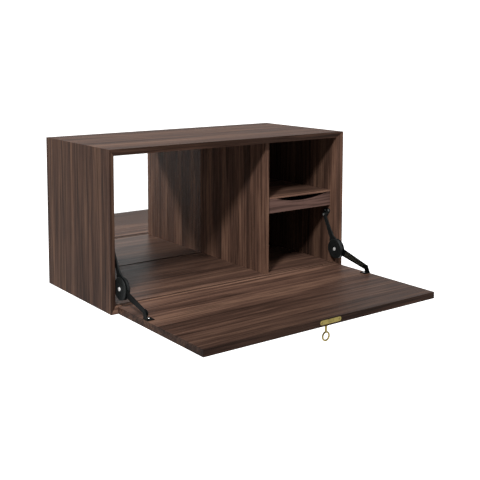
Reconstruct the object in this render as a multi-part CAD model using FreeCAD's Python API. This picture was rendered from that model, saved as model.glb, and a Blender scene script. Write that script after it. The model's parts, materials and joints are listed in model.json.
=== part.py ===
import FreeCAD, Part
import math
import os

# Wall-hung fall-front cabinet, flap open, in millimetres.
# The sizes below count y from the carcase's front plane to the back and z up from its underside.
# The finished solids are moved so that the origin lies between the two wall pegs, on the wall.

# Carcase boards
carcase_width = 800.0
carcase_depth = 373.0
carcase_height = 423.0
board = 18.0
bevel_set_back = 10.0
hinge_rail_depth = 22.0
seam_groove = 2.0
housing_depth = 4.0
spline_width = 10.0
spline_thickness = 4.0
spline_margin = 40.0

# Back, mirror and wall hanging
back_panel_thickness = 9.0
mirror_thickness = 4.0
mirror_clearance = 0.5
hanger_inset = 80.0
hanger_drop = 40.0
hanger_plate_width = 60.0
hanger_plate_height = 40.0
hanger_plate_thickness = 2.0
hanger_hole_radius = 5.1
peg_room_depth = 5.0

# Partition, shelf and drawer
right_bay_width = 247.0
partition_thickness = 13.0
fitting_clearance = 1.0
shelf_set_back = 6.0
shelf_thickness = 5.0
drawer_bracket_gap = 12.3
drawer_gap = 1.0
drawer_front_height = 40.7
drawer_front_thickness = 12.0
drawer_side_gap = 1.5
drawer_side_thickness = 10.0
drawer_side_height = 34.0
drawer_rear_gap = 17.0
drawer_floor_thickness = 4.0
drawer_floor_lift = 2.0
scoop_left_margin = 34.0
scoop_right_margin = 9.0
scoop_depth = 15.0
runner_height = 10.0
runner_lift = 11.0
runner_bite = 5.5
runner_clearance = 0.4
runner_front_gap = 1.0

# Fall front and its concealed pivots
flap_thickness = 18.0
flap_end_gap = 2.4
flap_top_gap = 1.55
flap_bottom_gap = 1.7
flap_edge_radius = 6.0
pivot_height = 5.85
pivot_radius = 2.0
pivot_clearance = 0.05
pivot_pin_length = 24.0
hinge_arm_inset = 70.0
hinge_arm_thickness = 3.0
hinge_arm_low = 2.85
hinge_arm_high = 3.15
hinge_arm_reach = 40.0
hinge_eye_radius = 4.0
hinge_slot_clearance = 0.3

# Folding brake stays: bracket pivot, hub and foot pivot, in y and z
bracket_pivot = (46.9, 164.0)
hub_centre = (-5.5, 66.0)
foot_pivot = (-129.0, 34.0)
bracket_plate_thickness = 2.0
bracket_plate_margin = 6.0
bracket_screw_places = ((8.8, 11.5), (-7.0, 12.0), (7.6, -8.6))
bracket_stud_radius = 4.0
bracket_stud_head = 5.0
bracket_stud_head_height = 1.6
stay_clearance = 0.4
stay_pin_clearance = 0.05
drum_side_gap = 1.6
upper_arm_thickness = 4.0
upper_arm_width = 10.0
upper_arm_taper = 38.0
upper_arm_middle_width = 12.0
upper_arm_drum_width = 23.0
upper_arm_eye = 6.5
upper_arm_neck = 39.0
upper_arm_neck_width = 17.0
upper_arm_flare = 23.0
upper_arm_flare_width = 36.0
drum_radius = 29.5
drum_wall = 3.0
drum_disc_thickness = 2.4
drum_disc_rounding = 1.4
drum_cheek_thickness = 8.8
drum_cheek_rounding = 3.4
drum_recess_radius = 8.0
drum_recess_depth = 2.2
drum_ring_radius = 19.5
drum_ring_width = 2.5
drum_ring_depth = 0.6
drum_wall_start = 279.0
drum_wall_end = 378.0
brake_screw_head = 5.0
brake_screw_head_height = 1.8
brake_screw_shank = 2.5
brake_slot_width = 1.2
brake_slot_depth = 0.9
lower_arm_thickness = 3.6
lower_arm_foot_width = 14.5
lower_arm_hub_width = 23.0
lower_arm_hub_eye = 10.0
lower_arm_shoulder = 17.0
lower_arm_bevel = 2.0
lower_arm_foot_flat = 8.0
lower_arm_drum_flat = 31.0
rib_margin = 3.0
rib_pocket_depth = 0.7
rib_pitch = 5.0
rib_thickness = 1.6
ribs_foot_margin = 11.0
ribs_hub_margin = 33.0
foot_lug_thickness = 2.4
foot_lug_radius = 6.5
foot_lug_slope = 8.0
foot_plate_thickness = 2.0
foot_plate_reach = 20.0
foot_plate_front = 14.0
foot_plate_back = 8.0
foot_pin_radius = 2.5

# Lock and key
lock_rise = 1.0
faceplate_length = 70.0
faceplate_width = 11.5
faceplate_thickness = 2.0
faceplate_screw_spacing = 56.0
lock_case_width = 50.0
lock_case_depth = 30.0
lock_case_thickness = 12.0
bolt_width = 16.0
bolt_thickness = 6.0
bolt_length = 24.0
bolt_inset = 0.2
bolt_clearance = 0.4
bolt_throw = 8.0
bolt_cover = 0.6
key_set_back = 17.5
key_stem_radius = 3.0
key_clearance = 0.05
key_bit_length = 5.0
key_bit_width = 2.0
key_bit_height = 1.6
key_bit_clearance = 0.4
key_collar_radius = 4.2
key_collar_height = 2.5
key_collar_drop = 4.0
key_stem_drop = 24.1
key_bow_radius = 13.0
key_bow_wire = 2.4
escutcheon_radius = 9.0
escutcheon_thickness = 1.5
escutcheon_clearance = 0.6
strike_length = 44.0
strike_width = 13.0
strike_thickness = 1.5
strike_screw_spacing = 34.0
strike_spare = 1.2

# Wood screws
screw_head_radius = 3.0
screw_head_height = 1.8
screw_shank_radius = 1.6
screw_length = 12.0
screw_proud = 0.4
screw_cover = 2.0

# Places worked out from the sizes above
half_width = carcase_width / 2
inner_half = half_width - board
ceiling = carcase_height - board
floor = board
back_front_face = carcase_depth - back_panel_thickness
flap_half = inner_half - flap_end_gap
pivot_depth = pivot_height + bevel_set_back
turn_sum = pivot_depth + pivot_height
flap_front = turn_sum - (ceiling - flap_top_gap)
flap_rear = turn_sum - (floor + flap_bottom_gap)
flap_top = flap_thickness
closed_inner_face = bevel_set_back + flap_thickness
fitting_front = closed_inner_face + fitting_clearance
partition_right_face = inner_half - right_bay_width
partition_left_face = partition_right_face - partition_thickness
hanger_place = half_width - hanger_inset
hinge_arm_place = half_width - hinge_arm_inset
shelf_front = fitting_front + shelf_set_back
bracket_top = bracket_pivot[1] + max(dz for dy, dz in bracket_screw_places) + bracket_plate_margin
drawer_base = bracket_top + drawer_bracket_gap
drawer_top = drawer_base + drawer_front_height
shelf_underside = drawer_top + drawer_gap
shelf_top = shelf_underside + shelf_thickness
hanger_height = ceiling - hanger_drop
lock_level = flap_thickness / 2 + lock_rise
key_depth = flap_front + key_set_back
ROW_ORIGIN = FreeCAD.Vector(0, -carcase_depth, -hanger_height)
X_AXIS = FreeCAD.Vector(1, 0, 0)
Y_AXIS = FreeCAD.Vector(0, 1, 0)
Z_AXIS = FreeCAD.Vector(0, 0, 1)
SIDES = (("left", -1), ("right", 1))


def box(low, high):
    """A block between two corners, given in any order along each axis."""
    least = [min(a, b) for a, b in zip(low, high)]
    most = [max(a, b) for a, b in zip(low, high)]
    return Part.makeBox(*[b - a for a, b in zip(least, most)], FreeCAD.Vector(*least))


def rod(start, direction, radius, length):
    return Part.makeCylinder(radius, length, FreeCAD.Vector(*start), FreeCAD.Vector(*direction))


def profile_yz(points, x_low, x_high):
    """A prism along x from an outline in y and z."""
    corners = [FreeCAD.Vector(x_low, y, z) for y, z in points]
    return Part.Face(Part.makePolygon(corners + corners[:1])).extrude(X_AXIS * (x_high - x_low))


def profile_xz(points, y_low, y_high):
    """A prism along y from an outline in x and z."""
    corners = [FreeCAD.Vector(x, y_low, z) for x, z in points]
    return Part.Face(Part.makePolygon(corners + corners[:1])).extrude(Y_AXIS * (y_high - y_low))


def link_yz(start, end, x_low, x_high, start_width, end_width=None):
    """A straight or tapering flat bar from one point to another, given in y and z."""
    end_width = end_width or start_width
    run = (end[0] - start[0], end[1] - start[1])
    length = math.hypot(*run)
    side = (-run[1] / length / 2, run[0] / length / 2)
    corners = ((start, start_width), (end, end_width), (end, -end_width), (start, -start_width))
    points = [(p[0] + size * side[0], p[1] + size * side[1]) for p, size in corners]
    return profile_yz(points, x_low, x_high)


def along(start, end, distance):
    """The point at a distance from one point towards another, in y and z."""
    share = distance / math.dist(start, end)
    return (start[0] + share * (end[0] - start[0]), start[1] + share * (end[1] - start[1]))


def disc_yz(centre, radius, x_low, x_high):
    return rod((x_low, *centre), (1, 0, 0), radius, x_high - x_low)


def wood_screw(head_at, direction, length=screw_length):
    """A screw whose head's top face is at a point, pointing into the wood."""
    head = rod(head_at, direction, screw_head_radius, screw_head_height)
    return head.fuse(rod(head_at, direction, screw_shank_radius, length)).removeSplitter()


def save(name, shape):
    moved = shape.copy()
    moved.translate(ROW_ORIGIN)
    moved.exportStep("parts/" + name + ".step")


def spread(sign, near, far):
    """An interval of x, counted from the middle, on one side of the cabinet."""
    return sorted((sign * near, sign * far))


os.makedirs("parts", exist_ok=True)
pieces = {}

# Four boards, mitred at the corners, with the front edges bevelled inwards
h = carcase_height
w = half_width
top_board = profile_xz([(-w, h), (w, h), (inner_half, ceiling), (-inner_half, ceiling)], 0, carcase_depth)
top_board = top_board.cut(profile_yz([(0, h), (bevel_set_back, ceiling), (0, ceiling)], -w, w))
bottom_slab = profile_xz([(-w, 0), (w, 0), (inner_half, floor), (-inner_half, floor)], 0, carcase_depth)
bottom_slab = bottom_slab.cut(profile_yz([(0, 0), (bevel_set_back, floor), (0, floor)], -w, w))


def side_board(sign):
    outer = sign * w
    inner = sign * inner_half
    slab = profile_xz([(outer, 0), (outer, h), (inner, ceiling), (inner, floor)], 0, carcase_depth)
    wedge_points = [(outer, 0), (inner, bevel_set_back), (inner, 0)]
    corners = [FreeCAD.Vector(x, y, 0) for x, y in wedge_points]
    wedge = Part.Face(Part.makePolygon(corners + corners[:1])).extrude(Z_AXIS * h)
    return slab.cut(wedge)


sides = {sign: side_board(sign) for _, sign in SIDES}

# The bottom is a hinge rail at the front and a board behind it, with a small groove at their seam
rail_zone = box((-w, -1, -1), (w, hinge_rail_depth, floor + 1))
seam = profile_yz(
    [
        (hinge_rail_depth - seam_groove, floor),
        (hinge_rail_depth, floor - seam_groove),
        (hinge_rail_depth + seam_groove, floor),
    ],
    -w,
    w,
)
hinge_rail = bottom_slab.common(rail_zone).cut(seam)
bottom_board = bottom_slab.cut(rail_zone).cut(seam)

# Loose tongues across the four mitres
middle = board / 2
splines = {}
for side, sign in SIDES:
    for level, height, lean in (("top", h - middle, 1), ("bottom", middle, -1)):
        tongue = Part.makeBox(
            spline_thickness,
            back_front_face - hinge_rail_depth - 2 * spline_margin,
            spline_width,
            FreeCAD.Vector(-spline_thickness / 2, hinge_rail_depth + spline_margin, -spline_width / 2),
        )
        tongue.rotate(FreeCAD.Vector(0, 0, 0), Y_AXIS, 45 * sign * lean)
        tongue.translate(FreeCAD.Vector(sign * (w - middle), 0, height))
        splines[level + "_" + side + "_spline"] = tongue
        sides[sign] = sides[sign].cut(tongue)
        if level == "top":
            top_board = top_board.cut(tongue)
        else:
            bottom_board = bottom_board.cut(tongue)
pieces.update(splines)

# Back panel between the boards, with two steel hanger plates let into its rear face
back_panel = box((-inner_half, back_front_face, floor), (inner_half, carcase_depth, ceiling))
plate_face = carcase_depth - hanger_plate_thickness
for side, sign in SIDES:
    x = sign * hanger_place
    plate = box(
        (x - hanger_plate_width / 2, plate_face, hanger_height - hanger_plate_height / 2),
        (x + hanger_plate_width / 2, carcase_depth, hanger_height + hanger_plate_height / 2),
    )
    hole = rod((x, carcase_depth, hanger_height), (0, -1, 0), hanger_hole_radius, hanger_plate_thickness)
    screw_x = x + sign * (hanger_plate_width / 2 + hanger_hole_radius) / 2
    fixing_length = back_panel_thickness - screw_cover
    fixing = wood_screw((screw_x, carcase_depth, hanger_height), (0, -1, 0), fixing_length)
    peg_room = rod((x, plate_face, hanger_height), (0, -1, 0), hanger_hole_radius, peg_room_depth)
    back_panel = back_panel.cut([plate, fixing, peg_room])
    pieces[side + "_hanger_plate"] = plate.cut(hole).cut(fixing)
    pieces[side + "_hanger_screw"] = fixing

# Mirror at the back of the left compartment
pieces["mirror"] = box(
    (-inner_half + mirror_clearance, back_front_face - mirror_thickness, floor),
    (partition_left_face - mirror_clearance, back_front_face, ceiling - mirror_clearance),
)

# Partition and drawer shelf, housed into the boards around them
partition = box(
    (partition_left_face, fitting_front, floor - housing_depth),
    (partition_right_face, back_front_face, ceiling + housing_depth),
)
shelf = box(
    (partition_right_face - housing_depth, shelf_front, shelf_underside),
    (inner_half + housing_depth, back_front_face, shelf_top),
)
top_board = top_board.cut(partition)
bottom_board = bottom_board.cut(partition)
partition = partition.cut(shelf)
sides[1] = sides[1].cut(shelf)
pieces["partition"] = partition
pieces["drawer_shelf"] = shelf

# Drawer with a scooped front, running on two strips that sit in grooves of its sides
drawer_left = partition_right_face + drawer_gap
drawer_right = inner_half - drawer_gap
side_front = shelf_front + drawer_front_thickness
side_rear = back_front_face - drawer_rear_gap
runner_base = drawer_base + runner_lift
front = box((drawer_left, shelf_front, drawer_base), (drawer_right, side_front, drawer_top))
scoop_left = drawer_left + scoop_left_margin
scoop_right = drawer_right - scoop_right_margin
scoop_middle = (scoop_left + scoop_right) / 2
scoop_radius = ((scoop_right - scoop_left) ** 2 / 4 + scoop_depth ** 2) / (2 * scoop_depth)
scoop_centre = (scoop_middle, shelf_front - 1, drawer_top - scoop_depth + scoop_radius)
pieces["drawer_front"] = front.cut(rod(scoop_centre, (0, 1, 0), scoop_radius, drawer_front_thickness + 2))
inner_sides = []
for side, face, inward in (("left", partition_right_face, 1), ("right", inner_half, -1)):
    outer = face + inward * drawer_side_gap
    inner = outer + inward * drawer_side_thickness
    groove_bottom = outer + inward * runner_bite
    inner_sides.append(inner)
    side_piece = box((outer, side_front, drawer_base), (inner, side_rear, drawer_base + drawer_side_height))
    groove = box(
        (outer, side_front, runner_base - runner_clearance),
        (groove_bottom, side_rear, runner_base + runner_height),
    )
    pieces["drawer_" + side + "_side"] = side_piece.cut(groove)
    runner_start = side_front + runner_front_gap
    pieces["drawer_" + side + "_runner"] = box(
        (face, runner_start, runner_base),
        (groove_bottom - inward * runner_clearance, back_front_face, runner_base + runner_height),
    )
box_left, box_right = inner_sides
drawer_floor_base = drawer_base + drawer_floor_lift
drawer_floor_top = drawer_floor_base + drawer_floor_thickness
drawer_side_top = drawer_base + drawer_side_height
back_front = side_rear - drawer_side_thickness
pieces["drawer_floor"] = box(
    (box_left, side_front, drawer_floor_base),
    (box_right, side_rear, drawer_floor_top),
)
pieces["drawer_back"] = box((box_left, back_front, drawer_floor_top), (box_right, side_rear, drawer_side_top))

# Fall front, lying open, with its lower rear edge rounded to clear the bevel of the hinge rail
flap = box((-flap_half, flap_front, 0), (flap_half, flap_rear, flap_top))
rear_low = [
    e
    for e in flap.Edges
    if all(abs(v.Y - flap_rear) < 1e-6 and abs(v.Z) < 1e-6 for v in e.Vertexes)
]
flap = flap.makeFillet(flap_edge_radius, rear_low)

# Concealed pivots: a cranked arm let into the flap's rear edge turns on a pin in a slot of the hinge rail
arm_low = pivot_height - hinge_arm_low
arm_high = pivot_height + hinge_arm_high
slot_wall = hinge_eye_radius + hinge_slot_clearance
for side, sign in SIDES:
    low = sign * hinge_arm_place - hinge_arm_thickness / 2
    high = sign * hinge_arm_place + hinge_arm_thickness / 2
    centre = (pivot_depth, pivot_height)
    leaf = box((low, flap_rear - hinge_arm_reach, arm_low), (high, pivot_depth, arm_high))
    leaf = leaf.fuse(disc_yz(centre, hinge_eye_radius, low, high)).removeSplitter()
    pieces[side + "_hinge_arm"] = leaf.cut(disc_yz(centre, pivot_radius + pivot_clearance, low, high))
    flap = flap.cut(leaf)
    slot = box(
        (low - hinge_slot_clearance, -1, pivot_height - slot_wall),
        (high + hinge_slot_clearance, pivot_depth + slot_wall, floor + 1),
    )
    pin_low = sign * hinge_arm_place - pivot_pin_length / 2
    pin = disc_yz(centre, pivot_radius, pin_low, pin_low + pivot_pin_length)
    hinge_rail = hinge_rail.cut(slot).cut(pin)
    pieces[side + "_hinge_pin"] = pin

# Stays, the same on both sides: bracket on the side board, drum arm, channelled arm and foot on the flap
bracket_face = inner_half - bracket_plate_thickness
disc_out = bracket_face - drum_side_gap
disc_in = disc_out - drum_disc_thickness
lower_out = disc_in - stay_clearance
lower_in = lower_out - lower_arm_thickness
cheek_out = lower_in - stay_clearance
cheek_in = cheek_out - drum_cheek_thickness
upper_in = cheek_out - upper_arm_thickness
drum_bore = drum_radius - drum_wall


def bracket_parts(side, sign):
    """A plate with three rounded corners, one around each of its screws, and the stud of the arm."""
    py, pz = bracket_pivot
    x0, x1 = spread(sign, bracket_face, inner_half)
    corners = [(py + dy, pz + dz) for dy, dz in bracket_screw_places]
    plate = profile_yz(corners, x0, x1)
    for number, corner in enumerate(corners):
        edge = link_yz(corner, corners[number - 1], x0, x1, 2 * bracket_plate_margin)
        plate = plate.fuse([edge, disc_yz(corner, bracket_plate_margin, x0, x1)])
    stud_tip = upper_in - stay_clearance - bracket_stud_head_height
    s0, s1 = spread(sign, stud_tip, bracket_face)
    h0, h1 = spread(sign, stud_tip, stud_tip + bracket_stud_head_height)
    stud = disc_yz(bracket_pivot, bracket_stud_radius, s0, s1)
    stud_head = disc_yz(bracket_pivot, bracket_stud_head, h0, h1)
    plate = plate.fuse([stud, stud_head]).removeSplitter()
    for number, (dy, dz) in enumerate(bracket_screw_places, 1):
        screw = wood_screw((sign * (bracket_face - screw_proud), py + dy, pz + dz), (sign, 0, 0))
        plate = plate.cut(screw)
        sides[sign] = sides[sign].cut(screw)
        pieces[side + "_bracket_screw_" + str(number)] = screw
    pieces[side + "_stay_bracket"] = plate


def drum_cheek(sign, face, back, rounding):
    """A disc of the drum: its free face has a rounded edge and a shallow ring."""
    inward = 1 if back > face else -1
    x0, x1 = spread(sign, face, back)
    disc = disc_yz(hub_centre, drum_radius, x0, x1)
    edge = [e for e in disc.Edges if all(abs(v.X - sign * face) < 1e-6 for v in e.Vertexes)]
    disc = disc.makeFillet(rounding, edge)
    r0, r1 = spread(sign, face, face + inward * drum_ring_depth)
    ring = disc_yz(hub_centre, drum_ring_radius, r0, r1)
    return disc.cut(ring.cut(disc_yz(hub_centre, drum_ring_radius - drum_ring_width, r0, r1)))


def upper_arm(sign):
    """The arm and the drum at its end, as one piece: two cheeks and a part of the rim between them."""
    x0, x1 = spread(sign, upper_in, cheek_out)
    middle = along(bracket_pivot, hub_centre, upper_arm_taper)
    neck = along(hub_centre, bracket_pivot, upper_arm_neck)
    flare = along(hub_centre, bracket_pivot, upper_arm_flare)
    r0, r1 = spread(sign, cheek_out, disc_in)
    rim = disc_yz(hub_centre, drum_radius, r0, r1).cut(disc_yz(hub_centre, drum_bore, r0, r1))
    steps = 6
    turn = (drum_wall_end - drum_wall_start) / steps
    fan = [hub_centre]
    for i in range(steps + 1):
        angle = math.radians(drum_wall_start + i * turn)
        reach = 2 * drum_radius
        fan.append((hub_centre[0] + reach * math.cos(angle), hub_centre[1] + reach * math.sin(angle)))
    recess_floor = cheek_in + drum_recess_depth
    f0, f1 = spread(sign, cheek_in, recess_floor)
    parts_of_arm = [
        link_yz(middle, hub_centre, x0, x1, upper_arm_middle_width, upper_arm_drum_width),
        link_yz(neck, flare, x0, x1, upper_arm_neck_width, upper_arm_flare_width),
        disc_yz(bracket_pivot, upper_arm_eye, x0, x1),
        drum_cheek(sign, cheek_in, cheek_out, drum_cheek_rounding),
        rim.common(profile_yz(fan, r0, r1)),
        drum_cheek(sign, disc_out, disc_in, drum_disc_rounding),
    ]
    arm = link_yz(bracket_pivot, middle, x0, x1, upper_arm_width, upper_arm_middle_width)
    arm = arm.fuse(parts_of_arm).removeSplitter()
    arm = arm.cut(disc_yz(hub_centre, drum_recess_radius, f0, f1))
    return arm.cut(disc_yz(bracket_pivot, bracket_stud_radius + stay_pin_clearance, x0, x1))


def brake_screw(sign):
    """A slotted brake screw in the recess of the drum's inner cheek."""
    head_base = cheek_in + drum_recess_depth
    outer = head_base - brake_screw_head_height
    h0, h1 = spread(sign, outer, head_base)
    s0, s1 = spread(sign, outer, cheek_out)
    head = disc_yz(hub_centre, brake_screw_head, h0, h1).fuse(disc_yz(hub_centre, brake_screw_shank, s0, s1))
    g0, g1 = spread(sign, outer, outer + brake_slot_depth)
    slot = box(
        (g0, hub_centre[0] - brake_slot_width / 2, hub_centre[1] - brake_screw_head),
        (g1, hub_centre[0] + brake_slot_width / 2, hub_centre[1] + brake_screw_head),
    )
    return head.removeSplitter().cut(slot)


def hub_rivet(sign):
    """A rivet head on the outer face of the drum."""
    x0, x1 = spread(sign, disc_in, disc_out + brake_screw_head_height)
    h0, h1 = spread(sign, disc_out, disc_out + brake_screw_head_height)
    shank = disc_yz(hub_centre, brake_screw_shank, x0, x1)
    return shank.fuse(disc_yz(hub_centre, brake_screw_head, h0, h1)).removeSplitter()


def arm_prism(sign, section, start, end):
    """A prism along the lower arm, between two distances from the foot, from corners in x and height."""
    run_y, run_z = along((0, 0), (hub_centre[0] - foot_pivot[0], hub_centre[1] - foot_pivot[1]), 1)
    base = along(foot_pivot, hub_centre, start)
    corners = []
    for x, rise in section:
        corners.append(FreeCAD.Vector(sign * x, base[0] - rise * run_z, base[1] + rise * run_y))
    reach = end - start
    outline = Part.makePolygon(corners + corners[:1])
    return Part.Face(outline).extrude(FreeCAD.Vector(0, reach * run_y, reach * run_z))


def lower_arm(sign):
    """A bar from the foot to the hub. Its faces lean, and the inner one has pockets between ribs."""
    x0, x1 = spread(sign, lower_in, lower_out)
    length = math.dist(foot_pivot, hub_centre)
    shoulder = along(hub_centre, foot_pivot, lower_arm_shoulder)
    arm = link_yz(foot_pivot, shoulder, x0, x1, lower_arm_foot_width, lower_arm_hub_width)
    end = link_yz(shoulder, hub_centre, x0, x1, lower_arm_hub_width, 2 * lower_arm_hub_eye)
    foot_eye = disc_yz(foot_pivot, lower_arm_foot_width / 2, x0, x1)
    hub_eye = disc_yz(hub_centre, lower_arm_hub_eye, x0, x1)
    arm = arm.fuse([end, foot_eye, hub_eye]).removeSplitter()
    half = lower_arm_foot_width / 2
    lean = lower_arm_bevel / lower_arm_foot_width
    beyond = lower_arm_hub_width
    bevel_end = length - lower_arm_drum_flat
    inner_bevel = [
        (lower_in - lean * beyond, -half - beyond),
        (lower_in + lean * (half + beyond), beyond),
        (lower_in - lean * beyond, beyond),
    ]
    outer_bevel = [
        (lower_out + lean * beyond, half + beyond),
        (lower_out - lean * (half + beyond), -beyond),
        (lower_out + lean * beyond, -beyond),
    ]
    cuts = [arm_prism(sign, bevel, lower_arm_foot_flat, bevel_end) for bevel in (inner_bevel, outer_bevel)]
    widening = (lower_arm_hub_width - lower_arm_foot_width) / (length - lower_arm_shoulder)
    for number in range(int((length - ribs_foot_margin - ribs_hub_margin) / rib_pitch)):
        place = ribs_foot_margin + number * rib_pitch
        rise = lower_arm_foot_width / 2 + widening * place / 2 - rib_margin
        low_floor = lower_in + lean * (half - rise) + rib_pocket_depth
        high_floor = lower_in + lean * (half + rise) + rib_pocket_depth
        outside = lower_in - rib_pocket_depth
        pocket = [(outside, -rise), (low_floor, -rise), (high_floor, rise), (outside, rise)]
        cuts.append(arm_prism(sign, pocket, place, place + rib_pitch - rib_thickness))
    arm = arm.cut(cuts)
    return arm.cut(disc_yz(foot_pivot, foot_pin_radius + stay_pin_clearance, x0, x1))


def stay_foot(sign):
    """A plate on the flap with an upright lug and the pin that the arm turns on."""
    py, pz = foot_pivot
    lug_in = lower_out + stay_clearance
    lug_out = lug_in + foot_lug_thickness
    l0, l1 = spread(sign, lug_in, lug_out)
    p0, p1 = spread(sign, lug_out - foot_plate_reach, lug_out)
    plate_top = flap_top + foot_plate_thickness
    plate = box((p0, py - foot_plate_front, flap_top), (p1, py + foot_plate_back, plate_top))
    lug_points = [
        (py + foot_lug_radius, flap_top),
        (py + foot_lug_radius, pz),
        (py - foot_lug_radius, pz),
        (py - foot_lug_radius - foot_lug_slope, flap_top),
    ]
    lug = profile_yz(lug_points, l0, l1)
    n0, n1 = spread(sign, lower_in, lug_in)
    pieces_of_foot = [
        lug,
        disc_yz(foot_pivot, foot_lug_radius, l0, l1),
        disc_yz(foot_pivot, foot_pin_radius, n0, n1),
    ]
    return plate.fuse(pieces_of_foot).removeSplitter()


for side, sign in SIDES:
    bracket_parts(side, sign)
    rivet = hub_rivet(sign)
    screw = brake_screw(sign)
    c0, c1 = spread(sign, cheek_in, cheek_out)
    bore = disc_yz(hub_centre, brake_screw_shank + stay_pin_clearance, c0, c1)
    pieces[side + "_upper_arm"] = upper_arm(sign).cut(bore).cut(rivet)
    pieces[side + "_hub_rivet"] = rivet
    pieces[side + "_brake_screw"] = screw
    pieces[side + "_lower_arm"] = lower_arm(sign)
    lug_out = lower_out + stay_clearance + foot_lug_thickness
    screw_x = sign * (lug_out - foot_plate_reach / 2 - foot_lug_thickness / 2)
    screw_top = flap_top + foot_plate_thickness + screw_proud
    foot_screw = wood_screw((screw_x, foot_pivot[0], screw_top), (0, 0, -1))
    pieces[side + "_foot_screw"] = foot_screw
    pieces[side + "_stay_foot"] = stay_foot(sign).cut(foot_screw)
    flap = flap.cut(foot_screw)

# Lock in the flap's free edge, its bolt, and the key from the outer face
plate_back = flap_front + faceplate_thickness
end_radius = faceplate_width / 2
plate_straight = faceplate_length / 2 - end_radius
plate_low = lock_level - end_radius
plate_high = lock_level + end_radius
faceplate = box((-plate_straight, flap_front, plate_low), (plate_straight, plate_back, plate_high))
for sign in (-1, 1):
    end_at = (sign * plate_straight, flap_front, lock_level)
    faceplate = faceplate.fuse(rod(end_at, (0, 1, 0), end_radius, faceplate_thickness))
faceplate = faceplate.removeSplitter()
case_low = lock_level - lock_case_thickness / 2
lock_case = box(
    (-lock_case_width / 2, plate_back, case_low),
    (lock_case_width / 2, plate_back + lock_case_depth, case_low + lock_case_thickness),
)
bolt_rear = flap_front + bolt_inset + bolt_length
bolt_low = case_low + lock_case_thickness - bolt_thickness - 2 * bolt_clearance - bolt_cover
bolt_high = bolt_low + bolt_thickness
bolt_half = bolt_width / 2
bolt = box((-bolt_half, flap_front + bolt_inset, bolt_low), (bolt_half, bolt_rear, bolt_high))
bolt_room = box(
    (-bolt_half - bolt_clearance, flap_front - 1, bolt_low - bolt_clearance),
    (bolt_half + bolt_clearance, bolt_rear + bolt_clearance, bolt_high + bolt_clearance),
)
flap = flap.cut(faceplate).cut(lock_case)
for number, sign in enumerate((-1, 1), 1):
    screw = wood_screw((sign * faceplate_screw_spacing / 2, flap_front, lock_level), (0, 1, 0))
    faceplate = faceplate.cut(screw)
    flap = flap.cut(screw)
    pieces["faceplate_screw_" + str(number)] = screw
bit_top = bolt_low - 2 * bolt_clearance
bit_low = bit_top - key_bit_height
bit_reach = key_stem_radius + key_bit_length
bit_room = rod(
    (0, key_depth, bit_low - key_bit_clearance),
    (0, 0, 1),
    bit_reach + key_bit_clearance,
    key_bit_height + key_bit_clearance + bolt_clearance,
)
key_bore = rod((0, key_depth, case_low), (0, 0, 1), key_stem_radius + key_clearance, bit_low - case_low)
keyhole_radius = key_stem_radius + escutcheon_clearance
keyhole_length = escutcheon_thickness + case_low
keyhole = rod((0, key_depth, -escutcheon_thickness), (0, 0, 1), keyhole_radius, keyhole_length)
pieces["lock_case"] = lock_case.cut(bolt_room).cut(bit_room).cut(key_bore)
pieces["lock_faceplate"] = faceplate.cut(bolt_room)
pieces["lock_bolt"] = bolt
flap = flap.cut(keyhole)
escutcheon = rod((0, key_depth, -escutcheon_thickness), (0, 0, 1), escutcheon_radius, escutcheon_thickness)
pieces["escutcheon"] = escutcheon.cut(keyhole)
key = rod((0, key_depth, -key_stem_drop), (0, 0, 1), key_stem_radius, bit_top + key_stem_drop)
bit = box((0, key_depth - key_bit_width / 2, bit_low), (bit_reach, key_depth + key_bit_width / 2, bit_top))
collar_low = -escutcheon_thickness - key_collar_drop
collar = rod((0, key_depth, collar_low - key_collar_height), (0, 0, 1), key_collar_radius, key_collar_height)
ring_radius = key_bow_radius - key_bow_wire
ring_level = -key_stem_drop - ring_radius + key_bow_wire / 2
ring = Part.makeTorus(ring_radius, key_bow_wire, FreeCAD.Vector(0, key_depth, ring_level), Y_AXIS)
pieces["key"] = key.fuse([bit, collar, ring]).removeSplitter()
pieces["fall_front"] = flap

# Strike plate under the top board, where the bolt enters when the flap is shut
strike_y = pivot_depth + bolt_low + bolt_thickness / 2 - pivot_height
strike = box(
    (-strike_length / 2, strike_y - strike_width / 2, ceiling),
    (strike_length / 2, strike_y + strike_width / 2, ceiling + strike_thickness),
)
bolt_reach = ceiling - flap_top_gap - bolt_inset + bolt_throw + strike_spare
strike_room = box(
    (-bolt_half - strike_spare, strike_y - bolt_thickness / 2 - strike_spare, ceiling - 1),
    (bolt_half + strike_spare, strike_y + bolt_thickness / 2 + strike_spare, bolt_reach),
)
top_board = top_board.cut(strike).cut(strike_room)
strike = strike.cut(strike_room)
for number, sign in enumerate((-1, 1), 1):
    screw = wood_screw((sign * strike_screw_spacing / 2, strike_y, ceiling), (0, 0, 1))
    strike = strike.cut(screw)
    top_board = top_board.cut(screw)
    pieces["strike_screw_" + str(number)] = screw
pieces["strike_plate"] = strike

pieces["top_board"] = top_board
pieces["bottom_board"] = bottom_board
pieces["hinge_rail"] = hinge_rail
pieces["left_side"] = sides[-1]
pieces["right_side"] = sides[1]
pieces["back_panel"] = back_panel

for name, shape in pieces.items():
    save(name, shape)
print(len(pieces), "pieces")
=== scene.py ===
"""Looks of a wall-hung fall-front cabinet: finishes, eased edges, small fittings, light and camera."""
import json
import math

import bmesh
import bpy
from mathutils import Matrix, Vector


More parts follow.
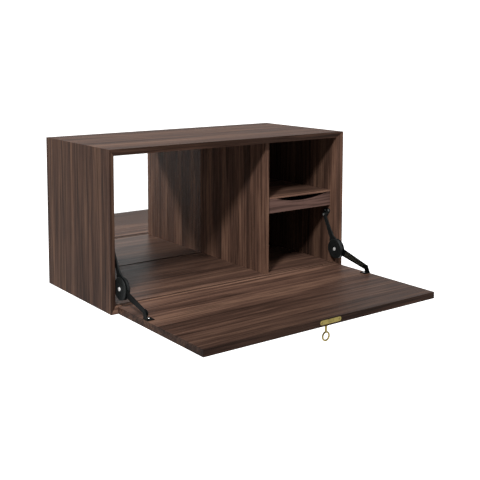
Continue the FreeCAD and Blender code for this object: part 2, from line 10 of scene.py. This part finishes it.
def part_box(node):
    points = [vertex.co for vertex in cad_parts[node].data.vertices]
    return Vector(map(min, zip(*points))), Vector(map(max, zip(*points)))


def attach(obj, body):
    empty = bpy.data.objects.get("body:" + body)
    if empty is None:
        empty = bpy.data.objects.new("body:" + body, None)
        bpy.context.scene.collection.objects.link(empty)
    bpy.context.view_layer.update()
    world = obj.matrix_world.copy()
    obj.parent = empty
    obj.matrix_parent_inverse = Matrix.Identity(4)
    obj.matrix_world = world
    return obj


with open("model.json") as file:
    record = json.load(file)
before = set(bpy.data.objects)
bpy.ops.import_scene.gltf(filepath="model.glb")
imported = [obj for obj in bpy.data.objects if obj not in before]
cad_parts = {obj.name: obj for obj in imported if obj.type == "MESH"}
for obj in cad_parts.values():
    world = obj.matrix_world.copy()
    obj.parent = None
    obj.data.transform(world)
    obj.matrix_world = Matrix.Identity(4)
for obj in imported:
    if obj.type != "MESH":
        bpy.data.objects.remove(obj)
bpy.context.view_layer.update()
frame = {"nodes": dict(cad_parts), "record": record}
nodes = frame["nodes"]

# Camera, solved from the photograph's edges
CAMERA_PLACE = (-1.4085, -2.2538, 0.3118)
CAMERA_AZIMUTH = -36.0
CAMERA_DOWN = 5.77
CAMERA_LENS = 64.2
CAMERA_SENSOR = 36.0
CAMERA_SHIFT = (0.0303, -0.2212)

# Light: a lamp from the left front, a broad one overhead, a white surround and a pale floor
FLOOR_LEVEL = -1.65
FLOOR_SIZE = 40.0
FLOOR_TONES = ((0.90, 0.90, 0.89), (0.92, 0.92, 0.91))
FLOOR_ROUGHNESS = 0.9
AMBIENT = 0.29
SURROUND = 1.25
LAMPS_AIM = (0.0, -0.35, -0.15)
KEY_DIRECTION = (-0.584, -0.478, 0.654)
KEY_DISTANCE = 3.08
KEY_SIZE = 0.40
KEY_POWER = 92.0
OVERHEAD_DIRECTION = (-0.10, -0.30, 0.95)
OVERHEAD_DISTANCE = 3.0
OVERHEAD_SIZE = 1.8
OVERHEAD_POWER = 34.0
WHITE = (1.0, 1.0, 1.0, 1.0)

# Sizes of what is added here, in metres
EDGE_EASE = 0.0005
METAL_EASE = 0.0006
EASE_SEGMENTS = 2
SCREW_DOME = 0.0008
SCREW_SLOT = 0.0011
CAP_RADIUS = 0.0034
CAP_DOME = 0.0009
RIVET_DOME = 0.0006
BEAD_SIZE = 0.0013
BAR_LENGTH = 0.0014
BAR_RISE = 0.0006
BAR_TAPER = 0.0004

# Domes: their facets, and their radius as a share of the head's width. The flat at the top is a share of
# the radius on a cap, and of the slot's width on a screw.
DOME_STEPS = 6
DOME_SIDES = 24
HEAD_SHARE = 0.46
CAP_FLAT_SHARE = 0.1
SLOT_FLAT_SHARE = 0.7

# Angles in degrees: faces taken as one, edges eased, edges kept sharp, and how the screws' slots lie
FLAT_ANGLE = 0.5
EASED_ANGLE = 40
SHARP_ANGLE = 35
BRACKET_SCREW_TURNS = {1: 35, 2: 110, 3: 70}
PLATE_SCREW_TURNS = {1: 20, 2: 75}
FOOT_SCREW_TURN = 25

# The two sides, with their sign along X
SIDE_SIGNS = {"left": -1, "right": 1}

# Stays, as in the solids: pivots in depth and height, and the lower arms with their pockets
BRACKET_PIVOT = (-0.3261, -0.201)
FOOT_PIVOT = (-0.502, -0.331)
HUB_CENTRE = (-0.3785, -0.299)
POCKET_START = 0.011
POCKET_PITCH = 0.005
POCKET_LENGTH = 0.0034
POCKET_DEPTH = 0.0007
POCKET_END = 0.033
POCKET_MARGIN = 0.0036
ARM_FOOT_WIDTH = 0.0145
ARM_HUB_WIDTH = 0.023
ARM_BEVEL = 0.002

# Veneer: the scale and detail of each layer of its figure, drawn out along a grain that sways a little
GRAIN_STRETCH = {"X": (0.03, 1.0, 1.0), "Y": (1.0, 0.03, 1.0), "Z": (1.0, 1.0, 0.03)}
SWAY = (3.2, 2.0)
SWAY_REACH = (0.012, 0.012, 0.012)
BANDS = (24.0, 1.0)
STREAKS = (78.0, 2.0)
LINES = (300.0, 2.0)
PORES = (1500.0, 1.0)
VEINS = (135.0, 1.0)
FIGURE_WEIGHTS = (0.30, 0.40, 0.30)
TONE_STOPS = (0.40, 0.50, 0.60)
VEIN_SHADE = (0.53, 0.66, 1.0, 0.55)
PORE_SHADE = (0.28, 0.44, 0.74, 1.0)

# Depth and strength of the relief of pores and metal, and the part of a noise's range that is used
PORE_RELIEF = (0.0002, 0.25)
METAL_RELIEF = (0.0001, 0.12)
NOISE_SPAN = (0.3, 0.7)

# Scale and detail of the other noises
METAL_WEAR = (60.0, 2.0)
METAL_DETAIL = 3.0
PAINT_SCALE = 1400.0
MIRROR_HAZE = (9.0, 3.0)
FLOOR_CLOUDS = (2.0, 2.0)

# Tones of the veneers, from their dark streaks to their light ones
CASE_TONES = ((0.046, 0.0255, 0.0185), (0.086, 0.0465, 0.0335), (0.142, 0.0800, 0.0545))
TOP_TONES = ((0.041, 0.0225, 0.0162), (0.076, 0.0410, 0.0295), (0.128, 0.0720, 0.0490))
SIDE_TONES = ((0.025, 0.0135, 0.0100), (0.062, 0.0335, 0.0240), (0.118, 0.0660, 0.0440))
INNER_TONES = ((0.058, 0.0315, 0.0225), (0.122, 0.0650, 0.0450), (0.210, 0.1160, 0.0770))
FLAP_TONES = ((0.047, 0.0252, 0.0181), (0.099, 0.0530, 0.0378), (0.172, 0.0960, 0.0655))
DRAWER_TONES = ((0.132, 0.0760, 0.0625), (0.152, 0.0880, 0.0725), (0.176, 0.1030, 0.0850))
TONGUE_TONES = ((0.30, 0.20, 0.11), (0.38, 0.26, 0.15), (0.45, 0.32, 0.19))
# The bead's dark tones are painted shade at the foot of the mirror
BEAD_PAINTED_SHADE_TONES = ((0.024, 0.0150, 0.0120), (0.036, 0.0220, 0.0170), (0.050, 0.0310, 0.0240))

# Mirror: its tones, how dull it is, and how much of it is metal
MIRROR_TONES = ((0.95, 0.96, 0.96), (0.98, 0.99, 0.99))
MIRROR_ROUGHNESS = (0.010, 0.020)
MIRROR_METALLIC = 0.93

# Where in the figure each board is cut, so that neighbours differ
SIDE_CUT = (0.31, 0.17, 0.0)
INNER_CUT = (0.11, 0.42, 0.3)
FLAP_CUT = (0.0, 0.23, 0.4)
DRAWER_CUT = (0.2, 0.1, 0.7)
SHELF_CUT = (0.4, 0.2, 0.1)

# Shading from one depth to another, or from one distance from the middle to another: two places, two gains
FLAP_DARKENING = (-0.755, -0.385, 0.40, 1.11)
# Painted light at the front of the cabinet's floor and painted shade towards its back
FLOOR_PAINTED_LIGHT_AND_SHADE = (-0.330, -0.080, 1.26, 0.70)
# Painted highlight along the drawer shelf's front edge
SHELF_EDGE_PAINTED_HIGHLIGHT = (-0.3379, -0.3372, 2.0, 0.95)
# Painted shade on the hinge rail's rear, in the seam behind the flap
RAIL_SEAM_PAINTED_SHADE = (-0.3595, -0.3550, 1.0, 0.20)
# Painted shade on the right side's inner face, darker deeper in the cubbies
RIGHT_SIDE_PAINTED_SHADE = (-0.363, -0.300, 1.04, 0.50)
FLAP_ENDS = (0.3788, 0.3793, 1.0, 0.60)

# Edges painted lighter or darker than their board, as painted highlights and painted shade: two depths,
# two heights, one gain
# Painted shade on the flap's rear edge, in the seam in front of the hinge rail
FLAP_REAR_EDGE_PAINTED_SHADE = ((-0.3712, -0.3716), (-0.3660, -0.3655), 0.22)
# Painted highlight on the hinge rail's front arris
RAIL_ARRIS_PAINTED_HIGHLIGHT = ((-0.3610, -0.3604), (-0.3489, -0.3485), 1.65)
# Painted light on the top board's front bevel
TOP_BEVEL_PAINTED_LIGHT = ((-0.3625, -0.3620), (0.0575, 0.0570), 1.4)


def add(tree, kind, sockets=None, **settings):
    """A new node with its settings, and its sockets linked or given a value."""
    made = tree.nodes.new(kind)
    for key, value in settings.items():
        setattr(made, key, value)
    for key, value in (sockets or {}).items():
        if isinstance(value, bpy.types.NodeSocket):
            tree.links.new(value, made.inputs[key])
        else:
            made.inputs[key].default_value = value
    return made


def new_material(name):
    """A new node material, with its tree, shader and object coordinates."""
    material = bpy.data.materials.new(name)
    material.use_nodes = True
    tree = material.node_tree
    tree.nodes.clear()
    shader = add(tree, "ShaderNodeBsdfPrincipled")
    output = add(tree, "ShaderNodeOutputMaterial")
    tree.links.new(shader.outputs["BSDF"], output.inputs["Surface"])
    place = add(tree, "ShaderNodeTexCoord").outputs["Object"]
    return material, tree, shader, place


def noise(tree, place, scale, detail, output="Fac"):
    """Cloudy noise over a place."""
    sockets = {"Vector": place, "Scale": scale, "Detail": detail}
    return add(tree, "ShaderNodeTexNoise", sockets).outputs[output]


def spread_range(tree, value, low, high, out_low, out_high):
    """A value carried from one range to another, and held at its ends."""
    sockets = {"Value": value, "From Min": low, "From Max": high, "To Min": out_low, "To Max": out_high}
    return add(tree, "ShaderNodeMapRange", sockets).outputs["Result"]


def calculated(tree, operation, *values):
    """The result of one operation on one to three values."""
    return add(tree, "ShaderNodeMath", dict(enumerate(values)), operation=operation).outputs[0]


def weighted(tree, values, weights):
    """The sum of several values, each times its weight."""
    total = 0.0
    for value, weight in zip(values, weights):
        total = calculated(tree, "MULTIPLY_ADD", value, weight, total)
    return total


def multiplied(tree, colour, value):
    """A colour made lighter or darker by a value."""
    sockets = {"Factor": 1.0, "A": colour, "B": value}
    made = add(tree, "ShaderNodeMix", sockets, data_type="RGBA", blend_type="MULTIPLY")
    return made.outputs["Result"]


def ramp(tree, value, positions, colours):
    """A colour that runs through several colours as a value grows."""
    made = add(tree, "ShaderNodeValToRGB", {"Fac": value})
    elements = made.color_ramp.elements
    while len(elements) < len(colours):
        elements.new(0.5)
    for element, position, colour in zip(elements, positions, colours):
        element.position = position
        element.color = (*colour, 1.0)
    return made.outputs["Color"]


def bump(tree, shader, height, distance, strength):
    """Fine relief on a surface."""
    sockets = {"Height": height, "Distance": distance, "Strength": strength}
    made = add(tree, "ShaderNodeBump", sockets)
    tree.links.new(made.outputs["Normal"], shader.inputs["Normal"])


def veneer(
    name,
    grain,
    tones,
    cut=(0.0, 0.0, 0.0),
    by_depth=None,
    painted_edge_light_and_shade=None,
    ends=None,
    gloss=0.04,
    roughness=(0.52, 0.64),
):
    """Straight-grained veneer: broad bands, streaks, fine lines, dark veins and pores along one axis.

    cut shifts the figure. by_depth shades it from one depth to another, and ends from one distance to
    another on either side of the middle; on the floor, the right side, the hinge rail and the shelf the
    shading by depth is painted light and shade. painted_edge_light_and_shade lightens or darkens it in
    front of a depth and above a height, as a painted highlight or painted shade on an edge; a pair given
    the other way round takes the side behind or below.
    """
    material, tree, shader, place = new_material(name)
    sway = noise(tree, place, *SWAY, "Color")
    sway_sockets = {0: sway, 1: SWAY_REACH, 2: place}
    swayed = add(tree, "ShaderNodeVectorMath", sway_sockets, operation="MULTIPLY_ADD").outputs[0]
    mapping_sockets = {"Vector": swayed, "Location": cut, "Scale": GRAIN_STRETCH[grain]}
    mapped = add(tree, "ShaderNodeMapping", mapping_sockets).outputs["Vector"]
    layers = (BANDS, STREAKS, LINES, PORES, VEINS)
    bands, streaks, lines, pores, veins = (noise(tree, mapped, *layer) for layer in layers)
    figure = weighted(tree, (bands, streaks, lines), FIGURE_WEIGHTS)
    colour = ramp(tree, figure, TONE_STOPS, tones)
    colour = multiplied(tree, colour, spread_range(tree, veins, *VEIN_SHADE))
    colour = multiplied(tree, colour, spread_range(tree, pores, *PORE_SHADE))
    axes = add(tree, "ShaderNodeSeparateXYZ", {"Vector": place}).outputs
    if by_depth:
        colour = multiplied(tree, colour, spread_range(tree, axes["Y"], *by_depth))
    if ends:
        sideways = calculated(tree, "ABSOLUTE", axes["X"])
        colour = multiplied(tree, colour, spread_range(tree, sideways, *ends))
    if painted_edge_light_and_shade:
        depths, heights, gain = painted_edge_light_and_shade
        in_front = spread_range(tree, axes["Y"], *depths, 1.0, 0.0)
        above = spread_range(tree, axes["Z"], *heights, 0.0, 1.0)
        on_edge = calculated(tree, "MULTIPLY", in_front, above)
        colour = multiplied(tree, colour, spread_range(tree, on_edge, 0.0, 1.0, 1.0, gain))
    tree.links.new(colour, shader.inputs["Base Color"])
    tree.links.new(spread_range(tree, lines, *NOISE_SPAN, *roughness), shader.inputs["Roughness"])
    shader.inputs["Specular IOR Level"].default_value = gloss
    bump(tree, shader, pores, *PORE_RELIEF)
    return material


def metal(name, tones, roughness, metallic=1.0, grain=(1.0, 1.0, 1.0), scale=400.0, gloss=0.5):
    """Metal or painted metal with slight variation of colour, gloss and relief."""
    material, tree, shader, place = new_material(name)
    mapped = add(tree, "ShaderNodeMapping", {"Vector": place, "Scale": grain}).outputs["Vector"]
    texture = noise(tree, mapped, scale, METAL_DETAIL)
    wear = noise(tree, place, *METAL_WEAR)
    tree.links.new(ramp(tree, wear, NOISE_SPAN, tones), shader.inputs["Base Color"])
    tree.links.new(spread_range(tree, texture, *NOISE_SPAN, *roughness), shader.inputs["Roughness"])
    shader.inputs["Metallic"].default_value = metallic
    shader.inputs["Specular IOR Level"].default_value = gloss
    bump(tree, shader, texture, *METAL_RELIEF)
    return material


def paint(name, tones, roughness, gloss):
    """Satin paint with a fine texture."""
    return metal(name, tones, roughness, metallic=0.0, scale=PAINT_SCALE, gloss=gloss)


def mirror_glass(name):
    """Silvered glass with a slight grey veil."""
    material, tree, shader, place = new_material(name)
    haze = noise(tree, place, *MIRROR_HAZE)
    tree.links.new(ramp(tree, haze, NOISE_SPAN, MIRROR_TONES), shader.inputs["Base Color"])
    tree.links.new(spread_range(tree, haze, *NOISE_SPAN, *MIRROR_ROUGHNESS), shader.inputs["Roughness"])
    shader.inputs["Metallic"].default_value = MIRROR_METALLIC
    return material


case_wood = veneer("walnut_along_x", "X", CASE_TONES)
side_wood = veneer("walnut_along_z", "Z", SIDE_TONES, SIDE_CUT)
inner_wood = veneer("walnut_partition", "Z", INNER_TONES, INNER_CUT)
# The right side's veneer carries painted shade, darker deeper in the cubbies
right_wood = veneer("walnut_right_side", "Z", INNER_TONES, INNER_CUT, RIGHT_SIDE_PAINTED_SHADE)
# The top's veneer carries painted light on its front bevel
top_wood = veneer("walnut_top", "X", TOP_TONES, painted_edge_light_and_shade=TOP_BEVEL_PAINTED_LIGHT, gloss=0.03)
# The flap's rear edge is darkened as painted shade in the seam
flap_wood = veneer(
    "walnut_flap",
    "X",
    FLAP_TONES,
    FLAP_CUT,
    FLAP_DARKENING,
    FLAP_REAR_EDGE_PAINTED_SHADE,
    FLAP_ENDS,
    gloss=0.03,
    roughness=(0.42, 0.52),
)
# The floor's veneer carries painted light at its front and painted shade at its back
floor_wood = veneer(
    "walnut_floor",
    "X",
    CASE_TONES,
    by_depth=FLOOR_PAINTED_LIGHT_AND_SHADE,
    gloss=0.05,
    roughness=(0.36, 0.46),
)
drawer_wood = veneer("walnut_drawer", "X", DRAWER_TONES, DRAWER_CUT)
drawer_side_wood = veneer("walnut_drawer_side", "Y", DRAWER_TONES)
# The shelf's veneer carries a painted highlight along its front edge
shelf_wood = veneer("walnut_shelf", "X", CASE_TONES, SHELF_CUT, SHELF_EDGE_PAINTED_HIGHLIGHT)
# The rail's veneer carries painted shade in the seam behind the flap and a painted highlight on its front
# arris
rail_wood = veneer("walnut_rail", "X", CASE_TONES, by_depth=RAIL_SEAM_PAINTED_SHADE, painted_edge_light_and_shade=RAIL_ARRIS_PAINTED_HIGHLIGHT)
# The bead's veneer is painted shade along the mirror's foot
bead_painted_shade_wood = veneer("walnut_bead_painted_shade", "X", BEAD_PAINTED_SHADE_TONES)
tongue_wood = veneer("beech_tongue", "Y", TONGUE_TONES)
mirror_finish = mirror_glass("mirror_silver")
brass = metal(
    "brass_satin",
    ((0.165, 0.130, 0.041), (0.222, 0.177, 0.057)),
    (0.34, 0.46),
    grain=(0.1, 1.0, 1.0),
)
key_brass = metal("brass_key", ((0.150, 0.118, 0.038), (0.235, 0.186, 0.062)), (0.28, 0.42))
steel = metal(
    "steel_brushed",
    ((0.19, 0.19, 0.19), (0.27, 0.27, 0.26)),
    (0.30, 0.42),
    grain=(0.15, 1.0, 1.0),
)
bright_steel = metal("steel_bright", ((0.78, 0.78, 0.77), (0.86, 0.86, 0.85)), (0.32, 0.46), metallic=0.45)
black_paint = paint("black_satin", ((0.007, 0.008, 0.008), (0.011, 0.012, 0.012)), (0.40, 0.52), 0.14)
arm_paint = paint("black_arm", ((0.0020, 0.0023, 0.0022), (0.0032, 0.0036, 0.0035)), (0.45, 0.58), 0.03)
rib_zinc = metal("rib_zinc", ((0.060, 0.056, 0.043), (0.092, 0.086, 0.066)), (0.45, 0.60), metallic=0.35)
dull_steel = metal("steel_dull", ((0.16, 0.16, 0.155), (0.22, 0.22, 0.21)), (0.40, 0.55), metallic=0.45)

# The finish of each slot, the nodes that have a finish of their own, and the slots with eased edges
FINISHES = {
    "walnut_case": case_wood,
    "walnut_flap": flap_wood,
    "walnut_back": side_wood,
    "drawer_wood": drawer_wood,
    "spline_wood": tongue_wood,
    "mirror_glass": mirror_finish,
    "brass": brass,
    "key_metal": key_brass,
    "steel": steel,
    "black_stay": black_paint,
    "stay_bright": bright_steel,
}
OWN_FINISHES = {
    "left_side": side_wood,
    "top_board": top_wood,
    "right_side": right_wood,
    "partition": inner_wood,
    "bottom_board": floor_wood,
    "hinge_rail": rail_wood,
    "drawer_shelf": shelf_wood,
}
for hand in SIDE_SIGNS:
    OWN_FINISHES[f"{hand}_lower_arm"] = arm_paint
    OWN_FINISHES[f"{hand}_stay_foot"] = arm_paint
    OWN_FINISHES[f"drawer_{hand}_side"] = drawer_side_wood
    OWN_FINISHES[f"drawer_{hand}_runner"] = drawer_side_wood
    for screw_number in BRACKET_SCREW_TURNS:
        OWN_FINISHES[f"{hand}_bracket_screw_{screw_number}"] = dull_steel
EASED_SLOTS = {
    "walnut_case": EDGE_EASE,
    "walnut_flap": EDGE_EASE,
    "drawer_wood": EDGE_EASE,
    "black_stay": METAL_EASE,
}
slot_of = {part["node"]: part["material_slot"] for part in frame["record"]["subparts"]}


def ease_edges(piece, width):
    """Clears the flat triangles of a solid and rounds its sharp edges a little."""
    flat = piece.modifiers.new("flat_faces", "DECIMATE")
    flat.decimate_type = "DISSOLVE"
    flat.angle_limit = math.radians(FLAT_ANGLE)
    rounded = piece.modifiers.new("eased_edges", "BEVEL")
    rounded.width = width
    rounded.segments = EASE_SEGMENTS
    rounded.limit_method = "ANGLE"
    rounded.angle_limit = math.radians(EASED_ANGLE)
    rounded.use_clamp_overlap = True
    rounded.harden_normals = True


def finish_nodes():
    """Gives each solid its finish, and eases the edges of wood and painted metal."""
    for name, piece in nodes.items():
        slot = slot_of[name]
        piece.data.materials.clear()
        piece.data.materials.append(OWN_FINISHES.get(name) or FINISHES[slot])
        if slot in EASED_SLOTS:
            ease_edges(piece, EASED_SLOTS[slot])


def finished(name, shape, material, body):
    """A mesh piece from its shape, smooth but for its sharp edges, riding on a body."""
    bmesh.ops.recalc_face_normals(shape, faces=shape.faces)
    mesh = bpy.data.meshes.new(name)
    shape.to_mesh(mesh)
    shape.free()
    mesh.shade_smooth()
    mesh.set_sharp_from_angle(angle=math.radians(SHARP_ANGLE))
    mesh.materials.append(material)
    piece = bpy.data.objects.new(name, mesh)
    bpy.context.scene.collection.objects.link(piece)
    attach(piece, body)


def skin(shape, rows):
    """A closed skin over rows of points of equal number, each row a ring."""
    made = [[shape.verts.new(point) for point in row] for row in rows]
    count = len(rows[0])
    for low, high in zip(made, made[1:]):
        for i in range(count):
            shape.faces.new((low[i], low[(i + 1) % count], high[(i + 1) % count], high[i]))
    shape.faces.new(made[0][::-1])
    shape.faces.new(made[-1])


def dome_rings(radius, rise, inner):
    """Radii and heights of a shallow dome, up to an inner radius at its top."""
    top = math.acos(inner / radius)
    for step in range(DOME_STEPS + 1):
        angle = top * step / DOME_STEPS
        yield radius * math.cos(angle), rise * math.sin(angle)


def facing(place, direction, turn=0.0):
    """The frame at a place whose Z axis points in a direction, turned about that axis."""
    rotation = Vector((0, 0, 1)).rotation_difference(Vector(direction)).to_matrix().to_4x4()
    return Matrix.Translation(place) @ rotation @ Matrix.Rotation(turn, 4, "Z")


def arc(reach, height, angles):
    """Points at a reach and a height, one at each angle."""
    return [(reach * math.cos(angle), reach * math.sin(angle), height) for angle in angles]


def cap(name, place, direction, radius, rise, material, body):
    """A low round dome."""
    shape = bmesh.new()
    angles = [2 * math.pi * i / DOME_SIDES for i in range(DOME_SIDES)]
    rings = dome_rings(radius, rise, CAP_FLAT_SHARE * radius)
    skin(shape, [arc(reach, height, angles) for reach, height in rings])
    shape.transform(facing(place, direction))
    finished(name, shape, material, body)


def slotted_dome(name, place, direction, radius, rise, turn, material, body):
    """The domed top of a screw's head, in two halves beside its slot."""
    shape = bmesh.new()
    count = DOME_SIDES // 2
    for side in (1, -1):
        rows = []
        for reach, height in dome_rings(radius, rise, SLOT_FLAT_SHARE * SCREW_SLOT):
            start = math.asin(SCREW_SLOT / 2 / reach)
            angles = [start + (math.pi - 2 * start) * i / count for i in range(count + 1)]
            rows.append(arc(side * reach, height, angles))
        skin(shape, rows)
    shape.transform(facing(place, direction, turn))
    finished(name, shape, material, body)


def outer_face(node, direction):
    """The middle of the face of a node's box that looks in a direction along an axis."""
    low, high = (Vector(corner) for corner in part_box(node))
    middle = (low + high) / 2
    return middle + Vector(direction) * ((high - low) / 2).dot(Vector([abs(part) for part in direction]))


def screw_tops():
    """Slotted domes on the screws that show."""
    up, front, down = (0, 0, 1), (0, -1, 0), (0, 0, -1)
    screws = []
    for side, sign in SIDE_SIGNS.items():
        inward = (-sign, 0, 0)
        for number, turn in BRACKET_SCREW_TURNS.items():
            screws.append((f"{side}_bracket_screw_{number}", inward, turn, dull_steel, "carcase"))
        screws.append((f"{side}_foot_screw", up, FOOT_SCREW_TURN, bright_steel, "flap"))
    for number, turn in PLATE_SCREW_TURNS.items():
        screws.append((f"faceplate_screw_{number}", front, turn, brass, "flap"))
        screws.append((f"strike_screw_{number}", down, turn, brass, "carcase"))
    for node, direction, turn, material, body in screws:
        low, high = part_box(node)
        head_width = min(high[i] - low[i] for i in range(3))
        slotted_dome(
            f"{node}_top",
            outer_face(node, direction),
            direction,
            HEAD_SHARE * head_width,
            SCREW_DOME,
            math.radians(turn),
            material,
            body,
        )


def stay_caps(side, sign):
    """Low caps on a stay's stud, inside, and on its rivet, outside."""
    low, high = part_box(f"{side}_stay_bracket")
    stud = low[0] if sign > 0 else high[0]
    stud_end = Vector((stud, *BRACKET_PIVOT))
    inward = (-sign, 0, 0)
    cap(f"{side}_pivot_cap", stud_end, inward, CAP_RADIUS, CAP_DOME, dull_steel, "carcase")
    rivet = f"{side}_hub_rivet"
    low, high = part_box(rivet)
    outward = (sign, 0, 0)
    cap(
        f"{rivet}_top",
        outer_face(rivet, outward),
        outward,
        HEAD_SHARE * (high[2] - low[2]),
        RIVET_DOME,
        bright_steel,
        f"{side}_upper_stay",
    )


def arm_bars(side, sign):
    """Light bars in the pockets of a stay's lower arm, on its leaning inner face."""
    foot = Vector((0, *FOOT_PIVOT))
    run = Vector((0, *HUB_CENTRE)) - foot
    length = run.length
    run.normalize()
    across = Vector((sign * ARM_BEVEL / ARM_FOOT_WIDTH, -run.z, run.y))
    low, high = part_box(f"{side}_lower_arm")
    inner_face = low[0] if sign > 0 else high[0]
    pocket_floor = Vector((inner_face + sign * (POCKET_DEPTH + ARM_BEVEL / 2), 0, 0))
    corners = ((1, 1), (-1, 1), (-1, -1), (1, -1))
    shape = bmesh.new()
    for number in range(int((length - POCKET_START - POCKET_END) / POCKET_PITCH)):
        distance = POCKET_START + number * POCKET_PITCH + POCKET_LENGTH / 2
        arm_width = ARM_FOOT_WIDTH + (ARM_HUB_WIDTH - ARM_FOOT_WIDTH) * distance / length
        bar_width = arm_width - 2 * POCKET_MARGIN
        middle = pocket_floor + foot + run * distance
        rows = []
        for rise, shrink in ((0, 0), (BAR_RISE, BAR_TAPER)):
            half_run = run * (BAR_LENGTH / 2 - shrink)
            half_across = across * (bar_width / 2 - shrink)
            raised = middle + Vector((-sign * rise, 0, 0))
            rows.append([raised + a * half_run + b * half_across for a, b in corners])
        skin(shape, rows)
    finished(f"{side}_arm_bars", shape, rib_zinc, f"{side}_lower_stay")


def mirror_bead():
    """A quarter bead along the foot of the mirror, dark as painted shade where the mirror meets the floor.
    """
    low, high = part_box("mirror")
    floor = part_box("bottom_board")[1][2]
    shape = bmesh.new()
    profile = [(low[1], floor)]
    for step in range(DOME_STEPS + 1):
        angle = math.pi / 2 * step / DOME_STEPS
        profile.append((low[1] - BEAD_SIZE * math.cos(angle), floor + BEAD_SIZE * math.sin(angle)))
    skin(shape, [[(x, depth, height) for depth, height in profile] for x in (low[0], high[0])])
    finished("mirror_bead", shape, bead_painted_shade_wood, "carcase")


finish_nodes()
screw_tops()
for stay_side, stay_sign in SIDE_SIGNS.items():
    stay_caps(stay_side, stay_sign)
    arm_bars(stay_side, stay_sign)
mirror_bead()


def lamp(name, direction, distance, size, power):
    """A round lamp at a distance, facing the cabinet."""
    data = bpy.data.lights.new(name, "AREA")
    data.shape = "DISK"
    data.size = size
    data.energy = power
    light = bpy.data.objects.new(name, data)
    bpy.context.scene.collection.objects.link(light)
    towards = Vector(direction).normalized()
    light.location = Vector(LAMPS_AIM) + distance * towards
    light.rotation_euler = (-towards).to_track_quat("-Z", "Y").to_euler()


def seen_strength(tree, seen, as_light):
    """One strength for what is seen or mirrored, and another for the soft light that it gives."""
    rays = add(tree, "ShaderNodeLightPath")
    return spread_range(tree, rays.outputs["Is Diffuse Ray"], 0.0, 1.0, seen, as_light)


def surround():
    """A white surround, bright to look at and soft as a light."""
    world = bpy.data.worlds.new("studio")
    bpy.context.scene.world = world
    world.use_nodes = True
    tree = world.node_tree
    tree.nodes.clear()
    strength = seen_strength(tree, SURROUND, AMBIENT)
    background = add(tree, "ShaderNodeBackground", {"Color": WHITE, "Strength": strength})
    output = add(tree, "ShaderNodeOutputWorld")
    tree.links.new(background.outputs["Background"], output.inputs["Surface"])


def pale_floor():
    """A pale floor that runs into the surround."""
    mesh = bpy.data.meshes.new("floor")
    half = FLOOR_SIZE / 2
    corners = [(x * half, y * half, FLOOR_LEVEL) for x, y in ((-1, -1), (1, -1), (1, 1), (-1, 1))]
    mesh.from_pydata(corners, [], [(0, 1, 2, 3)])
    floor = bpy.data.objects.new("floor", mesh)
    bpy.context.scene.collection.objects.link(floor)
    material, tree, shader, place = new_material("pale_floor")
    clouds = noise(tree, place, *FLOOR_CLOUDS)
    tree.links.new(ramp(tree, clouds, NOISE_SPAN, FLOOR_TONES), shader.inputs["Base Color"])
    shader.inputs["Roughness"].default_value = FLOOR_ROUGHNESS
    shader.inputs["Specular IOR Level"].default_value = 0.0
    shader.inputs["Emission Color"].default_value = WHITE
    tree.links.new(seen_strength(tree, SURROUND, 0.0), shader.inputs["Emission Strength"])
    floor.data.materials.append(material)


def camera():
    """The camera at the photograph's place."""
    data = bpy.data.cameras.new("camera")
    data.lens = CAMERA_LENS
    data.sensor_width = CAMERA_SENSOR
    data.shift_x, data.shift_y = CAMERA_SHIFT
    made = bpy.data.objects.new("camera", data)
    bpy.context.scene.collection.objects.link(made)
    made.location = CAMERA_PLACE
    made.rotation_euler = (math.radians(90 - CAMERA_DOWN), 0.0, math.radians(CAMERA_AZIMUTH))
    bpy.context.scene.camera = made


surround()
pale_floor()
lamp("key_lamp", KEY_DIRECTION, KEY_DISTANCE, KEY_SIZE, KEY_POWER)
lamp("overhead_lamp", OVERHEAD_DIRECTION, OVERHEAD_DISTANCE, OVERHEAD_SIZE, OVERHEAD_POWER)
camera()
bpy.context.scene.view_settings.view_transform = "Standard"
